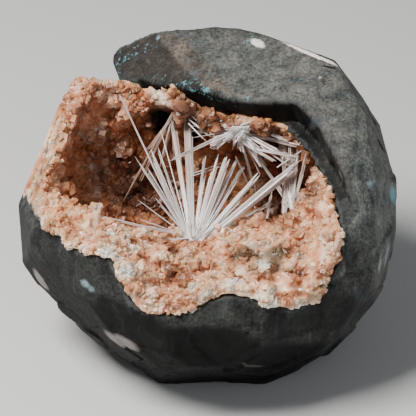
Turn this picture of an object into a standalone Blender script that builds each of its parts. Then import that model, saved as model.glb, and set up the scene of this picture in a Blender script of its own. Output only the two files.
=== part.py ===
"""Geode half: a ground basalt nodule, broken open on a hollow lined with peach zeolite, with white needle sprays.

The stone is drawn in the frame of its opening: u to the right, v up the opening and w out of it, in
millimetres from the stone's centre. It is then tilted back so that it stands on the flat ground on its base.
"""

import math
import random

import bmesh
import bpy
from mathutils import Matrix, Vector, noise
from mathutils.bvhtree import BVHTree

MM = 0.001

# Driving dimensions
WIDTH = 115.0
HEIGHT_IN_OPENING = 108.0
DEPTH = 104.0
OPENING_TILT = 33.0
BASE_BELOW_CENTRE = 45.5
GAP = 0.35
ROOF_SLAB = 9.0
FACET_SEED = 11
CRYSTAL_SEED = 5

# The sweep that broke the front open runs back into the stone and slightly down
SWEEP_DROP = 10.0

# Outline of the stone as seen into its opening, clockwise from the upper left
GIRDLE = [
    (-40.5, 42.0), (-27.5, 48.5), (-14.6, 53.4), (8.2, 54.3), (25.0, 49.0), (38.7, 43.9), (43.3, 37.8),
    (51.9, 25.0), (57.0, 8.2), (57.3, -7.0), (54.9, -20.7), (50.9, -28.4), (43.3, -39.0), (35.7, -45.1),
    (25.0, -50.3), (17.4, -53.4), (-14.6, -53.4), (-28.4, -45.0), (-39.0, -37.5), (-51.2, -23.8),
    (-56.2, -17.0), (-57.6, 0.6),
]

# Ground facets of the front: angle round the opening and lean towards w in degrees, share of the full radius
FRONT_FACETS = [
    (270, 84, 0.83), (270, 49, 1.0), (236, 44, 0.99), (202, 40, 0.97), (214, 68, 0.93), (310, 42, 0.99),
    (336, 48, 0.98), (5, 44, 0.97), (33, 36, 0.97), (345, 70, 0.93), (302, 66, 0.95), (250, 26, 1.0),
    (290, 26, 1.0),
]

# The sawn top: its normal and its distance from the centre
TOP_NORMAL = Vector((-0.12, 0.65, 0.75)).normalized()
TOP_DISTANCE = 26.6

# The matt facet on the tip of the roof
FLAP_NORMAL = Vector((-0.386, 0.452, 0.805)).normalized()
FLAP_DISTANCE = 19.0
FLAP_SPREAD = 65.0

# Where the crust meets the outside of the rock, from the left end, round the front, to the roof
RIM = [
    (-53.9, -3.3, 17.8), (-49.0, -5.7, 26.7), (-43.6, -8.1, 33.0), (-41.6, -12.8, 33.7), (-34.8, -14.5, 39.0),
    (-28.2, -16.2, 42.0), (-25.2, -22.9, 41.2), (-22.8, -28.4, 39.1), (-17.6, -31.1, 40.3),
    (-11.1, -31.9, 40.2), (-4.7, -30.7, 40.3), (0.0, -27.8, 40.6), (5.8, -26.4, 40.8), (11.7, -26.4, 40.8),
    (16.4, -29.3, 40.5), (26.4, -30.2, 35.9), (32.4, -27.1, 34.1), (35.4, -22.4, 34.8), (38.7, -17.1, 34.8),
    (39.9, -9.8, 36.2), (38.5, -1.5, 31.0), (35.6, 6.5, 23.6), (31.1, 14.6, 15.8), (27.7, 19.9, 10.6),
]

# Height of the crust's crest above the centre, by distance to the right
CREST = [
    (-80.0, 9.0), (-45.0, 10.0), (-33.0, 6.9), (-17.5, 1.4), (-5.4, -3.2), (5.0, 0.4), (16.0, 1.4),
    (23.5, 6.9), (28.0, 9.8), (34.0, 16.0), (36.5, 30.0), (40.0, 60.0),
]
CREST_Y = -16.0

# How far back the open front reaches over the crust, by distance to the right
FRONT_BACK = [(-80.0, -14.0), (-54.0, -12.0), (-47.0, -6.0), (-38.0, 7.0), (60.0, 7.0)]
# Edge of the roof slab over the hollow, from its tip to where the step runs out on the right
ROOF_EDGE = [
    (-22.0, 40.5, -10.0), (-14.6, 37.2, -4.3), (-2.4, 35.7, 2.5), (6.7, 32.6, 8.3), (12.8, 31.7, 10.0),
    (26.5, 31.7, 12.3), (33.0, 24.5, 19.3), (38.2, 13.9, 29.6), (43.3, 3.5, 39.3), (52.0, -14.0, 56.0),
]

# Notch between the tip of the roof and the top of the left wall, in u and v
NOTCH = [
    (-75.0, 37.0), (-42.0, 37.0), (-30.0, 36.8), (-26.2, 36.0), (-27.0, 39.5), (-29.3, 43.5), (-29.0, 46.0),
    (-27.0, 50.0), (-27.0, 75.0), (-75.0, 75.0),
]

# Centre and half axes of the chambers of the hollow in the rock, in u, v, w
CHAMBERS = [
    ((2.0, 8.0, -10.0), (46.0, 24.0, 30.0)),
    ((-22.0, 12.0, 4.0), (30.0, 28.0, 35.0)),
    ((-33.0, 24.0, 4.0), (23.0, 25.0, 20.0)),
]

# The same for the free space inside the crust
INNER_CHAMBERS = [
    ((2.0, 8.0, -10.0), (41.0, 19.0, 25.0)),
    ((-22.0, 12.0, 4.0), (25.0, 23.0, 30.0)),
    ((-27.0, 24.0, 3.0), (14.0, 18.0, 14.0)),
]

# Dark pockets in the back wall where no crust grew, in the same terms
POCKETS = [((-14.6, 27.5, -21.0), (4.0, 4.4, 9.0)), ((-4.6, 24.5, -21.0), (2.4, 4.8, 12.0))]

# The saw cut on the left: how far it leans to the front and to the back, in degrees
LEFT_CUT_LEANS = (20.0, -12.0)

# Needle sprays: where each is rooted, and its needles as (tip u, v, w, width)
SPRAYS = {
    "needle_spray_centre": (
        (-4.0, -10.5, 10.0), 2.6,
        [
            (-22.3, 15.3, 14.0, 0.9), (-20.4, 13.4, 10.0, 0.8), (-18.4, 11.9, 7.0, 0.7),
            (-27.0, 34.5, -12.0, 0.9), (-17.7, 17.4, 3.0, 1.4), (-15.4, 18.0, 1.0, 0.8),
            (-11.0, 27.1, -8.0, 1.7), (-6.1, 29.0, -9.0, 2.3), (-0.6, 15.6, 2.0, 1.3), (3.2, 16.0, 6.0, 1.5),
            (5.9, 15.2, 9.0, 1.9), (8.4, 14.3, 6.0, 1.7), (10.8, 12.5, 2.0, 1.3), (15.6, 10.1, 6.0, 1.7),
            (28.0, 14.3, 8.0, 2.1), (27.6, 11.0, 5.0, 1.5), (19.0, 1.0, 1.0, 1.0), (-33.0, -0.5, 15.0, 1.0),
            (-18.6, -4.6, 17.0, 1.1), (-11.6, -9.2, 18.0, 1.0), (-16.2, 2.7, -5.0, 0.8),
        ],
    ),
    "needle_spray_roof": (
        (9.0, 23.8, 0.5), 2.2,
        [
            (-11.6, 14.0, 14.0, 1.4), (-9.2, 15.4, 12.0, 1.0), (-6.1, 27.6, -4.0, 0.8), (-5.5, 25.2, -4.0, 0.8),
            (-5.5, 22.9, -3.0, 0.9), (1.0, 18.0, 10.0, 1.9), (20.4, 7.6, 0.0, 1.1), (16.5, 12.0, 4.0, 1.3),
            (23.5, 15.4, 7.0, 1.8), (15.5, 1.6, -7.0, 0.9), (10.5, 16.4, 7.0, 1.6), (28.0, 18.5, 6.0, 1.3),
        ],
    ),
    "needle_spray_left": (
        (-10.5, 29.5, -10.0), 2.2,
        [
            (-26.4, 1.7, -16.0, 1.0), (-19.0, 16.8, -4.0, 1.1), (-14.8, 12.4, -6.0, 1.3),
            (-21.0, 8.0, -14.0, 0.9), (-8.4, 9.0, -12.0, 1.2),
        ],
    ),
    "needle_spray_right": (
        (25.5, 0.0, 7.5), 2.4,
        [
            (22.4, 20.4, -1.0, 2.4), (25.2, 20.8, -2.0, 2.0), (27.8, 21.0, 1.0, 1.2), (30.2, 17.0, 6.0, 1.1),
            (19.0, 10.8, -1.0, 1.2), (32.6, 8.0, 9.0, 1.1), (16.2, 14.0, -10.0, 1.0),
        ],
    ),
}

TILT = Matrix.Rotation(math.radians(90.0 - OPENING_TILT), 4, "X")


def clear_scene():
    for obj in list(bpy.data.objects):
        bpy.data.objects.remove(obj)


def collection(name):
    made = bpy.data.collections.new(name)
    bpy.context.scene.collection.children.link(made)
    return made


def object_from(bm, name, where):
    """Turns a bmesh into an object with outward faces."""
    bmesh.ops.recalc_face_normals(bm, faces=bm.faces)
    mesh = bpy.data.meshes.new(name)
    bm.to_mesh(mesh)
    bm.free()
    obj = bpy.data.objects.new(name, mesh)
    where.objects.link(obj)
    return obj


def cutter_from(bm, name):
    obj = object_from(bm, name, CUTTERS)
    obj.hide_render = True
    obj.display_type = "WIRE"
    return obj


def applied(obj):
    """Fixes an object's modifiers into its mesh."""
    bpy.context.view_layer.update()
    graph = bpy.context.evaluated_depsgraph_get()
    mesh = bpy.data.meshes.new_from_object(obj.evaluated_get(graph))
    obj.modifiers.clear()
    obj.data = mesh
    return obj


def combine(obj, other, operation, self_crossing=False):
    modifier = obj.modifiers.new(operation.lower(), "BOOLEAN")
    modifier.operation = operation
    modifier.object = other
    modifier.solver = "EXACT"
    modifier.use_self = self_crossing
    applied(obj)
    bm = bmesh.new()
    bm.from_mesh(obj.data)
    bmesh.ops.dissolve_degenerate(bm, dist=0.01, edges=bm.edges[:])
    bm.to_mesh(obj.data)
    bm.free()
    return obj


def keep_main_body(obj):
    """Drops crumbs that a cut has left loose."""
    bm = bmesh.new()
    bm.from_mesh(obj.data)
    bodies, left = [], set(bm.verts)
    while left:
        body, edge = set(), [left.pop()]
        while edge:
            vert = edge.pop()
            body.add(vert)
            for link in vert.link_edges:
                other = link.other_vert(vert)
                if other in left:
                    left.remove(other)
                    edge.append(other)
        bodies.append(body)
    bodies.sort(key=len)
    bmesh.ops.delete(bm, geom=[v for body in bodies[:-1] for v in body], context="VERTS")
    bm.to_mesh(obj.data)
    bm.free()


def material(name, colour, roughness):
    made = bpy.data.materials.new(name)
    made.use_nodes = True
    shader = made.node_tree.nodes["Principled BSDF"]
    shader.inputs["Base Color"].default_value = (*colour, 1.0)
    shader.inputs["Roughness"].default_value = roughness
    shader.inputs["Metallic"].default_value = 0.0
    return made


def full_radius(normal):
    """Distance from the centre of a plane that just touches the whole round stone."""
    halves = (WIDTH / 2, HEIGHT_IN_OPENING / 2, DEPTH / 2)
    return math.sqrt(sum((half * part) ** 2 for half, part in zip(halves, normal)))


def facet_normal(angle, lean):
    angle, lean = math.radians(angle), math.radians(lean)
    return Vector((math.cos(angle) * math.cos(lean), math.sin(angle) * math.cos(lean), math.sin(lean)))


def girdle_planes(rng):
    """Two facets along each edge of the outline, one leaning to the front and one to the back."""
    planes = []
    for (u0, v0), (u1, v1) in zip(GIRDLE, GIRDLE[1:] + GIRDLE[:1]):
        along = Vector((u1 - u0, v1 - v0, 0.0)).normalized()
        outward = Vector((-along.y, along.x, 0.0))
        leans = (rng.uniform(9, 16), -rng.uniform(9, 18))
        middle = Vector(((u0 + u1) / 2, (v0 + v1) / 2, 0.0))
        depth = min(
            0.0, (TOP_DISTANCE - TOP_NORMAL.dot(middle)) / TOP_NORMAL.z,
            (FLAP_DISTANCE - FLAP_NORMAL.dot(middle)) / FLAP_NORMAL.z,
        )
        if (u0, v0) == GIRDLE[-1]:
            leans, depth = LEFT_CUT_LEANS, 0.0
        for lean in leans:
            normal = outward * math.cos(math.radians(lean)) + Vector((0, 0, math.sin(math.radians(lean))))
            planes.append((normal, normal.dot(Vector((u0, v0, depth)))))
    return planes


def back_planes(rng):
    """Rings of ground facets over the hidden back."""
    planes = []
    for count, lean, start in ((13, -36, 8), (9, -60, 25), (4, -80, 50)):
        for i in range(count):
            angle = start + 360 * i / count + rng.uniform(-9, 9)
            normal = facet_normal(angle, lean + rng.uniform(-5, 5))
            planes.append((normal, full_radius(normal) * rng.uniform(0.955, 0.995)))
    return planes


def nodule_planes():
    """Every facet plane of the ground stone, as its normal and its distance from the centre."""
    rng = random.Random(FACET_SEED)
    base = (Vector((0, -math.cos(math.radians(OPENING_TILT)), -math.sin(math.radians(OPENING_TILT)))),
            BASE_BELOW_CENTRE)
    front = [facet_normal(angle, lean) for angle, lean, _ in FRONT_FACETS]
    planes = girdle_planes(rng) + back_planes(rng) + [base, (TOP_NORMAL, TOP_DISTANCE)]
    planes += [(normal, full_radius(normal) * facet[2]) for normal, facet in zip(front, FRONT_FACETS)]
    return planes


def nodule(scale=1.0):
    """The ground stone before it was opened: a block cut by every facet plane."""
    bm = bmesh.new()
    bmesh.ops.create_cube(bm, size=300.0)
    for normal, distance in nodule_planes():
        cut = bmesh.ops.bisect_plane(
            bm, geom=bm.verts[:] + bm.edges[:] + bm.faces[:], dist=1e-4,
            plane_co=normal * distance * scale, plane_no=normal, clear_outer=True,
        )
        edges = [e for e in cut["geom_cut"] if isinstance(e, bmesh.types.BMEdge)]
        if edges:
            bmesh.ops.contextual_create(bm, geom=edges)
    bmesh.ops.dissolve_degenerate(bm, dist=0.05, edges=bm.edges[:])
    return bm


def ellipsoid(centre, halves, shrink=0.0, segments=16, rings=9):
    bm = bmesh.new()
    bmesh.ops.create_uvsphere(bm, u_segments=segments, v_segments=rings, radius=1.0)
    bmesh.ops.scale(bm, vec=[half - shrink for half in halves], verts=bm.verts)
    bmesh.ops.translate(bm, vec=centre, verts=bm.verts)
    return bm


def prism(bottom, direction):
    """A closed prism: a polygon of points swept by a vector."""
    bm = bmesh.new()
    face = bm.faces.new([bm.verts.new(p) for p in bottom])
    swept = bmesh.ops.extrude_face_region(bm, geom=[face])
    verts = [g for g in swept["geom"] if isinstance(g, bmesh.types.BMVert)]
    bmesh.ops.translate(bm, vec=direction, verts=verts)
    return bm


def inset_outline(points, distance):
    """Moves each corner of a closed outline inwards by a distance, for outlines given as (a, b)."""
    area = sum(a0 * b1 - a1 * b0 for (a0, b0), (a1, b1) in zip(points, points[1:] + points[:1]))
    side = 1.0 if area > 0 else -1.0
    moved = []
    for before, here, after in zip(points[-1:] + points[:-1], points, points[1:] + points[:1]):
        first = (Vector(here) - Vector(before)).normalized()
        second = (Vector(after) - Vector(here)).normalized()
        bisector = (Vector((-first.y, first.x)) + Vector((-second.y, second.x))) * side
        bisector.normalize()
        sharpness = max(0.5, bisector.dot(Vector((-first.y, first.x)) * side))
        moved.append(tuple(Vector(here) + bisector * distance / sharpness))
    return moved


def break_outline():
    """The broken-out front as an outline across the sweep: (across, up) where the sweep passes the centre."""
    drop = math.tan(math.radians(SWEEP_DROP))
    outline = [(-78.0, 1.0)]
    for point in RIM:
        x, y, z = TILT @ Vector(point)
        outline.append((x, z + y * drop))
    outline += [(22.0, 23.6), (10.0, 24.2), (-8.0, 24.2), (-14.5, 25.5), (-16.5, 62.0), (-78.0, 62.0)]
    return outline


def break_cutter(shrink=0.0):
    """The broken-out front, swept back into the stone as far as the hollow."""
    drop = math.tan(math.radians(SWEEP_DROP))
    front_y, back_y = -85.0, 6.0 - shrink
    outline = inset_outline(break_outline(), shrink) if shrink else break_outline()
    back_to_frame = TILT.inverted()
    start = [back_to_frame @ Vector((x, front_y, z - front_y * drop)) for x, z in outline]
    run = back_y - front_y
    return prism(start, back_to_frame.to_3x3() @ Vector((0, run, -run * drop)))


def roof_edge_cutter(raise_floor=0.0):
    """The step below the sawn top, with an edge face square to it."""
    floor = TOP_DISTANCE - ROOF_SLAB + raise_floor
    edge = [Vector(p) for p in ROOF_EDGE] + [Vector((60, -70, 90)), Vector((-22, -70, 80))]
    on_floor = [p + TOP_NORMAL * (floor - TOP_NORMAL.dot(p)) for p in edge]
    return prism(on_floor, TOP_NORMAL * 70.0)


def flap_cutter(raise_floor=0.0):
    """Takes off what is above the matt facet on the roof's tip."""
    uphill = (Vector((0, 1, 0)) - FLAP_NORMAL * FLAP_NORMAL.y).normalized()
    side = uphill.cross(FLAP_NORMAL)
    foot = Vector((-20.0, 27.0, 0.0))
    foot += FLAP_NORMAL * (FLAP_DISTANCE + raise_floor - FLAP_NORMAL.dot(foot))
    top = foot + uphill * 80
    corners = [foot, foot + side * 60, top + side * 60, top - side * FLAP_SPREAD]
    return prism(corners, FLAP_NORMAL * 60.0)


def notch_cutter(lift=0.0):
    return prism([Vector((u, v + lift, -80.0)) for u, v in NOTCH], Vector((0, 0, 170.0)))


def make_basalt():
    """The host rock: faceted outside, opened at the front, hollow inside."""
    rock = object_from(nodule(), "basalt_matrix", PARTS)
    cutters = [
        cutter_from(flap_cutter(), "cut_flap"),
        cutter_from(roof_edge_cutter(), "cut_roof_step"),
        cutter_from(break_cutter(), "cut_front"),
        cutter_from(notch_cutter(), "cut_notch"),
    ]
    cutters += [cutter_from(ellipsoid(*chamber), "cut_chamber") for chamber in CHAMBERS]
    cutters += [cutter_from(ellipsoid(*pocket, segments=7, rings=5), "cut_pocket") for pocket in POCKETS]
    for cutter in cutters:
        combine(rock, cutter, "DIFFERENCE")
    return rock


def interpolate(table, x):
    for (x0, y0), (x1, y1) in zip(table, table[1:]):
        if x <= x1:
            return y0 + (y1 - y0) * (x - x0) / (x1 - x0)
    return table[-1][1]


def crust_top(x, y):
    """Height of the crust's broken top in front of the hollow, in standing coordinates."""
    drop = math.tan(math.radians(SWEEP_DROP))
    lower_rim = [TILT @ Vector(point) for point in RIM[:20]]
    outline = break_outline()[:21]
    bed = max(interpolate(outline, x + shift) for shift in (-2.5, 0.0, 2.5)) - y * drop
    front = interpolate([(point.x, point.y) for point in lower_rim], x) + 1.0
    share = min(1.0, max(0.0, (y - front) / (CREST_Y - front)))
    top = bed + (interpolate(CREST, x) - bed) * share ** 0.7
    top -= max(0.0, y - CREST_Y - 3.0) * 1.2
    return max(top, bed + 3.4)


def front_void(cell=4.0):
    """Free space over the crust's broken top, as a closed block with that top for its floor."""
    columns, rows = round(124 / cell), round(92 / cell)
    bm = bmesh.new()
    bmesh.ops.create_grid(bm, x_segments=columns, y_segments=rows, size=0.5)
    for vert in bm.verts:
        x = vert.co.x * 124 - 19
        y = -85 + (vert.co.y + 0.5) * (85 + interpolate(FRONT_BACK, x))
        vert.co = Vector((x, y, crust_top(x, y)))
    swept = bmesh.ops.extrude_face_region(bm, geom=bm.faces[:])
    for part in swept["geom"]:
        if isinstance(part, bmesh.types.BMVert):
            part.co.z = 75.0
    bmesh.ops.transform(bm, matrix=TILT.inverted(), verts=bm.verts)
    return bm


def make_void():
    """The free space inside the crust: chambers and front in one skin, roughened into crystal lumps."""
    void = cutter_from(front_void(), "void")
    for chamber in INNER_CHAMBERS:
        combine(void, cutter_from(ellipsoid(*chamber), "void_chamber"), "UNION")
    remesh = void.modifiers.new("even_cells", "REMESH")
    remesh.mode = "VOXEL"
    remesh.voxel_size = 4.6
    applied(void)
    for vert in void.data.vertices:
        lump = noise.cell_vector(vert.co * 0.9) * 2.0 - Vector((1, 1, 1))
        swell = noise.noise(vert.co * 0.09) * 2.4
        vert.co += vert.normal * (swell + lump.x * 0.9) + lump * 0.5
    return void


def crystal(bm, centre, normal, size, rng):
    """A blocky crystal with a tapered end, standing on a surface."""
    made = bmesh.ops.create_cube(bm, size=1.0)
    taper = rng.uniform(0.35, 0.6)
    for vert in made["verts"]:
        if vert.co.z > 0:
            vert.co.x *= taper
            vert.co.y *= 0.85
    lean = Vector([rng.uniform(-0.45, 0.45) for _ in range(3)])
    turn = (normal + lean).to_track_quat("Z", "Y").to_matrix().to_4x4()
    spin = Matrix.Rotation(rng.uniform(0, math.tau), 4, "Z")
    shape = Matrix.Diagonal((size * rng.uniform(0.6, 0.8), size, size * rng.uniform(0.9, 1.3), 1.0))
    place = Matrix.Translation(centre + normal * size * 0.12)
    bmesh.ops.transform(bm, matrix=place @ turn @ spin @ shape, verts=made["verts"])
    return made["verts"]


def tree_of(obj):
    bpy.context.view_layer.update()
    return BVHTree.FromObject(obj, bpy.context.evaluated_depsgraph_get())


def seat_point(crust_tree, wanted):
    """The spot just over the crust nearest to where a spray was seen to start, and the way out of it."""
    point, normal, _, _ = crust_tree.find_nearest(Vector(wanted))
    return point + normal * 1.7, normal


def within_stone(point, planes):
    """Whether a crystal's corner keeps to the ground outside and clear of the notch."""
    if point.x < -12.0 and point.y > 38.5:
        return False
    return all(normal.dot(point) < distance * 1.022 + 0.8 for normal, distance in planes)


def grow_crystals(crust, rock_tree, roots, count):
    """Flat-faced crystals where sight lines from the open space first meet the crust."""
    rng = random.Random(CRYSTAL_SEED)
    crust_tree = tree_of(crust)
    planes = nodule_planes()
    placed = []
    bm = bmesh.new()
    for _ in range(count * 60):
        eye = Vector((rng.uniform(-60, 45), rng.uniform(-45, 45), rng.uniform(-25, 60)))
        sight = Vector((rng.gauss(0, 1), rng.gauss(0, 1), rng.gauss(0, 1))).normalized()
        size = rng.uniform(3.4, 5.6)
        spin = rng.random()
        point, normal, _, distance = crust_tree.ray_cast(eye, sight)
        if point is None or normal.dot(sight) > -0.3 or len(placed) >= count:
            continue
        if rock_tree.ray_cast(eye, sight, distance + 0.1)[0] is not None:
            continue
        if any((point - other).length < 4.0 for other in placed):
            continue
        if any((point - root).length < 6.5 for root in roots):
            continue
        trial = bmesh.new()
        crystal(trial, point, normal, size, random.Random(spin))
        trial_tree = BVHTree.FromBMesh(trial)
        clear = not trial_tree.overlap(rock_tree) and not trial_tree.overlap(BVHTree.FromBMesh(bm))
        clear = clear and all(within_stone(vert.co, planes) for vert in trial.verts)
        trial.free()
        if clear and rock_tree.find_nearest(point)[3] > 1.2:
            crystal(bm, point, normal, size, random.Random(spin))
            placed.append(point)
    return cutter_from(bm, "crystals")


def make_crust(rock):
    """The zeolite lining: it fills the hollow's wall and the broken front, and stands a little proud."""
    crust = object_from(break_cutter(GAP), "zeolite_crust", PARTS)
    for centre, halves in CHAMBERS:
        combine(crust, cutter_from(ellipsoid(centre, halves, GAP), "crust_chamber"), "UNION")
    combine(crust, cutter_from(nodule(1.022), "crust_trim"), "INTERSECT")
    combine(crust, cutter_from(roof_edge_cutter(1.2), "crust_trim_roof"), "DIFFERENCE")
    combine(crust, cutter_from(flap_cutter(0.8), "crust_trim_flap"), "DIFFERENCE")
    combine(crust, cutter_from(notch_cutter(1.0), "crust_trim_notch"), "DIFFERENCE")
    combine(crust, make_void(), "DIFFERENCE")
    for pocket in POCKETS:
        combine(crust, cutter_from(ellipsoid(*pocket, segments=7, rings=5), "open_pocket"), "DIFFERENCE")
    keep_main_body(crust)
    crust_tree = tree_of(crust)
    seats = {name: seat_point(crust_tree, spec[0]) for name, spec in SPRAYS.items()}
    for name, (root, _) in seats.items():
        combine(crust, cutter_from(root_lump(root, SPRAYS[name][1] + 0.45), name + "_seat"), "DIFFERENCE")
    crystals = grow_crystals(crust, tree_of(rock), [root for root, _ in seats.values()], 130)
    combine(crust, crystals, "UNION")
    keep_main_body(crust)
    return crust, seats


def needle(bm, root, tip, width):
    """One slim crystal with five flat sides and a pointed end."""
    run = tip - root
    rings = []
    for share, size in ((0.0, 0.8), (0.95, 1.0), (1.0, 0.25)):
        ring = []
        for i in range(5):
            angle = math.tau * i / 5
            across = Vector((math.cos(angle), math.sin(angle), 0.0)) * width * size / 2
            ring.append(bm.verts.new(across + Vector((0, 0, run.length * share))))
        rings.append(ring)
    bm.faces.new(rings[0][::-1])
    bm.faces.new(rings[-1])
    for lower, upper in zip(rings, rings[1:]):
        for i in range(5):
            bm.faces.new((lower[i], lower[i - 4], upper[i - 4], upper[i]))
    verts = [vert for ring in rings for vert in ring]
    turn = run.to_track_quat("Z", "Y").to_matrix().to_4x4()
    bmesh.ops.transform(bm, matrix=Matrix.Translation(root) @ turn, verts=verts)


def root_lump(centre, size):
    """The knot of crystal that a spray grows from."""
    bm = bmesh.new()
    bmesh.ops.create_icosphere(bm, subdivisions=1, radius=size)
    bmesh.ops.translate(bm, vec=centre, verts=bm.verts)
    return bm


def fitted_tip(root, outward, tip, width, obstacles):
    """Lifts or shortens a needle until it stands clear of everything round it, or gives None."""
    for attempt in range(24):
        lift, shortening = attempt % 4, attempt // 4
        run = (tip - root) * (1.0 - 0.08 * shortening)
        run = (run + outward * run.length * 0.12 * lift).normalized() * run.length
        trial = bmesh.new()
        needle(trial, root + run.normalized() * 2.2, root + run + run.normalized() * 0.6, width + 1.3)
        trial_tree = BVHTree.FromBMesh(trial)
        trial.free()
        if not any(trial_tree.overlap(tree) for tree in obstacles):
            return root + run
    return None


def make_spray(name, seat, obstacles):
    """One spray: needles fanned out of a knot that is seated in the crust with a fine gap."""
    _, lump, needles = SPRAYS[name]
    root, outward = seat
    spray = object_from(root_lump(root, lump), name, PARTS)
    for u, v, w, width in needles:
        tip = fitted_tip(root, outward, Vector((u, v, w)), width, obstacles)
        if tip:
            bm = bmesh.new()
            needle(bm, root, tip, width)
            combine(spray, cutter_from(bm, name + "_needle"), "UNION")
    return spray


def finish(parts):
    """Tilts the parts back, sets them on the ground and scales them to metres."""
    for part in parts:
        part.data.transform(TILT)
    points = [v.co for part in parts for v in part.data.vertices]
    low = Vector([min(p[i] for p in points) for i in range(3)])
    high = Vector([max(p[i] for p in points) for i in range(3)])
    shift = Matrix.Translation(Vector((-(low.x + high.x) / 2, -(low.y + high.y) / 2, -low.z)))
    for part in parts:
        part.data.transform(Matrix.Scale(MM, 4) @ shift)


clear_scene()
PARTS = collection("geode_half")
CUTTERS = collection("cutters")
basalt = make_basalt()
basalt.data.materials.append(material("basalt", (0.085, 0.085, 0.08), 0.8))
crust, seats = make_crust(basalt)
crust.data.materials.append(material("peach_zeolite", (0.72, 0.36, 0.22), 0.35))
sprays = []
for name, seat in seats.items():
    obstacles = [tree_of(other) for other in [basalt, crust] + sprays]
    for other, (root, _) in seats.items():
        if other != name:
            obstacles.append(BVHTree.FromBMesh(root_lump(root, SPRAYS[other][1] + 0.8)))
    spray = make_spray(name, seat, obstacles)
    spray.data.materials.append(material(name + "_white", (0.86, 0.84, 0.82), 0.25))
    sprays.append(spray)
finish([basalt, crust] + sprays)
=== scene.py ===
"""Looks of the geode half: ground basalt, a crust of peach zeolite crystals and sprays of white needles.

Places on the stone are given as in its CAD source: u to the right, v up the opening and w out of it, in
millimetres from the stone's centre. Everything in Blender is in metres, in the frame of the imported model.
"""

import math
import random

import bpy
import numpy as np
from mathutils import Matrix, Vector, noise
from mathutils.bvhtree import BVHTree
from mathutils.kdtree import KDTree


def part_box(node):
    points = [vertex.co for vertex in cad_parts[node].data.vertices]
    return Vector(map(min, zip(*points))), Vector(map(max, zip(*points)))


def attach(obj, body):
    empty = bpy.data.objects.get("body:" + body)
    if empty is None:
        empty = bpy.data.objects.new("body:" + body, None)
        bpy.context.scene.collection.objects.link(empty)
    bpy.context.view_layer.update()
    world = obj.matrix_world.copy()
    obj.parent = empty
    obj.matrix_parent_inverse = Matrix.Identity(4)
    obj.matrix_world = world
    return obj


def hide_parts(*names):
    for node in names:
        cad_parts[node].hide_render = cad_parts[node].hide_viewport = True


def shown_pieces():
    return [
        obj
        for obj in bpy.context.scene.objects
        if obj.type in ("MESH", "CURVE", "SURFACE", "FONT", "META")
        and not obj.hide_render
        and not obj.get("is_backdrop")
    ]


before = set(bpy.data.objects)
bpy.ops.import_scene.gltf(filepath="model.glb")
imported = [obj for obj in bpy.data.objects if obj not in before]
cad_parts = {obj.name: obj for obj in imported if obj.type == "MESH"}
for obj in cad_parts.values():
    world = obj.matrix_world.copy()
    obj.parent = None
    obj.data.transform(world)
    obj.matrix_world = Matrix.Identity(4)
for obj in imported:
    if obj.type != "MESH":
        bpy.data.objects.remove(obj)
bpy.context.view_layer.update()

MM = 0.001

# How the opening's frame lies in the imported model
OPENING_TILT = math.radians(33.0)
CENTRE = Vector((0.2, -0.2, 45.5))
RIGHT = Vector((1.0, 0.0, 0.0))
UP = Vector((0.0, math.sin(OPENING_TILT), math.cos(OPENING_TILT)))
OUT = Vector((0.0, -math.cos(OPENING_TILT), math.sin(OPENING_TILT)))
AXES = np.array([RIGHT, UP, OUT])

# Camera: distances in metres, lens in millimetres, shift in shares of the picture's width
CAMERA_DISTANCE = 1.0
CAMERA_LENS = 283.7
CAMERA_SHIFT_UP = -0.0024
CAMERA_CLIP_START = 0.05

# Studio, in metres and watts: each light's place, size, power and colour, and what the lights aim at
LIGHTS = {
    "key_light": ((-0.30, -0.16, 0.62), 0.26, 9.0, (1.0, 0.98, 0.95)),
    "front_fill": ((0.25, -0.62, 0.42), 0.5, 1.1, (0.95, 0.97, 1.0)),
}
LIGHT_AIM = (0.0, 0.0, 0.04)
STUDIO_COLOUR = (0.86, 0.88, 0.9, 1.0)
STUDIO_STRENGTH = 0.17
FLOOR_HALF = 3.0

# Ground facets that the CAD source names, in the opening's frame
TOP_NORMAL = Vector((-0.12, 0.65, 0.75)).normalized()
TOP_DISTANCE = 26.6
ROOF_SLAB = 9.0
FLAP_NORMAL = Vector((-0.386, 0.452, 0.805)).normalized()
FLAP_DISTANCE = 19.0

# The saw cut on the left end, in front of the opening's plane and behind it: normal and distance
LEFT_CUTS = [(Vector((-0.8685, 0.3588, 0.3420)), 50.24), (Vector((-0.9041, 0.3735, -0.2079)), 52.30)]

# From the first distance behind the cut on, the skin is drawn out to it, and from the second it lies in it
SAW_DRAWN = (-1.7, -0.9)

# How far the crystals stand proud of the saw cut
SAW_ROUGHNESS = 0.35

# Cells of the two skins, and spacing of the crystals
BASALT_CELL = 0.8
CRUST_CELL = 0.8
CRYSTAL_SPACING = 1.2
CRYSTAL_SEED = 21
NEEDLE_SEED = 8

# How far the sawn top runs on past the source's outline, as the photo shows it: u, v of the edge and the
# distance as seen up the opening, which is less than the distance along the sawn plane
TOP_EDGE = np.array([
    (-34.0, 44.5, 0.0), (-27.0, 48.0, 2.8), (-21.0, 50.5, 2.3), (-14.6, 52.5, 1.6), (-2.0, 53.3, 1.4),
    (4.0, 53.5, 1.8), (10.0, 52.5, 2.8), (16.0, 51.0, 2.8), (22.0, 49.5, 2.1), (28.0, 47.5, 1.5),
    (36.0, 44.5, 1.2), (44.0, 37.0, 0.5), (52.0, 25.0, 0.0),
])

# The top is moved from the first distance below its edge on, and in full from the second
TOP_EDGE_REACH = (-9.0, -1.0)

# Along +Y the crust turns from the broken front into the hollow's wall between these
WALL_STARTS = -14.0
WALL_FULL = 1.0

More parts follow.
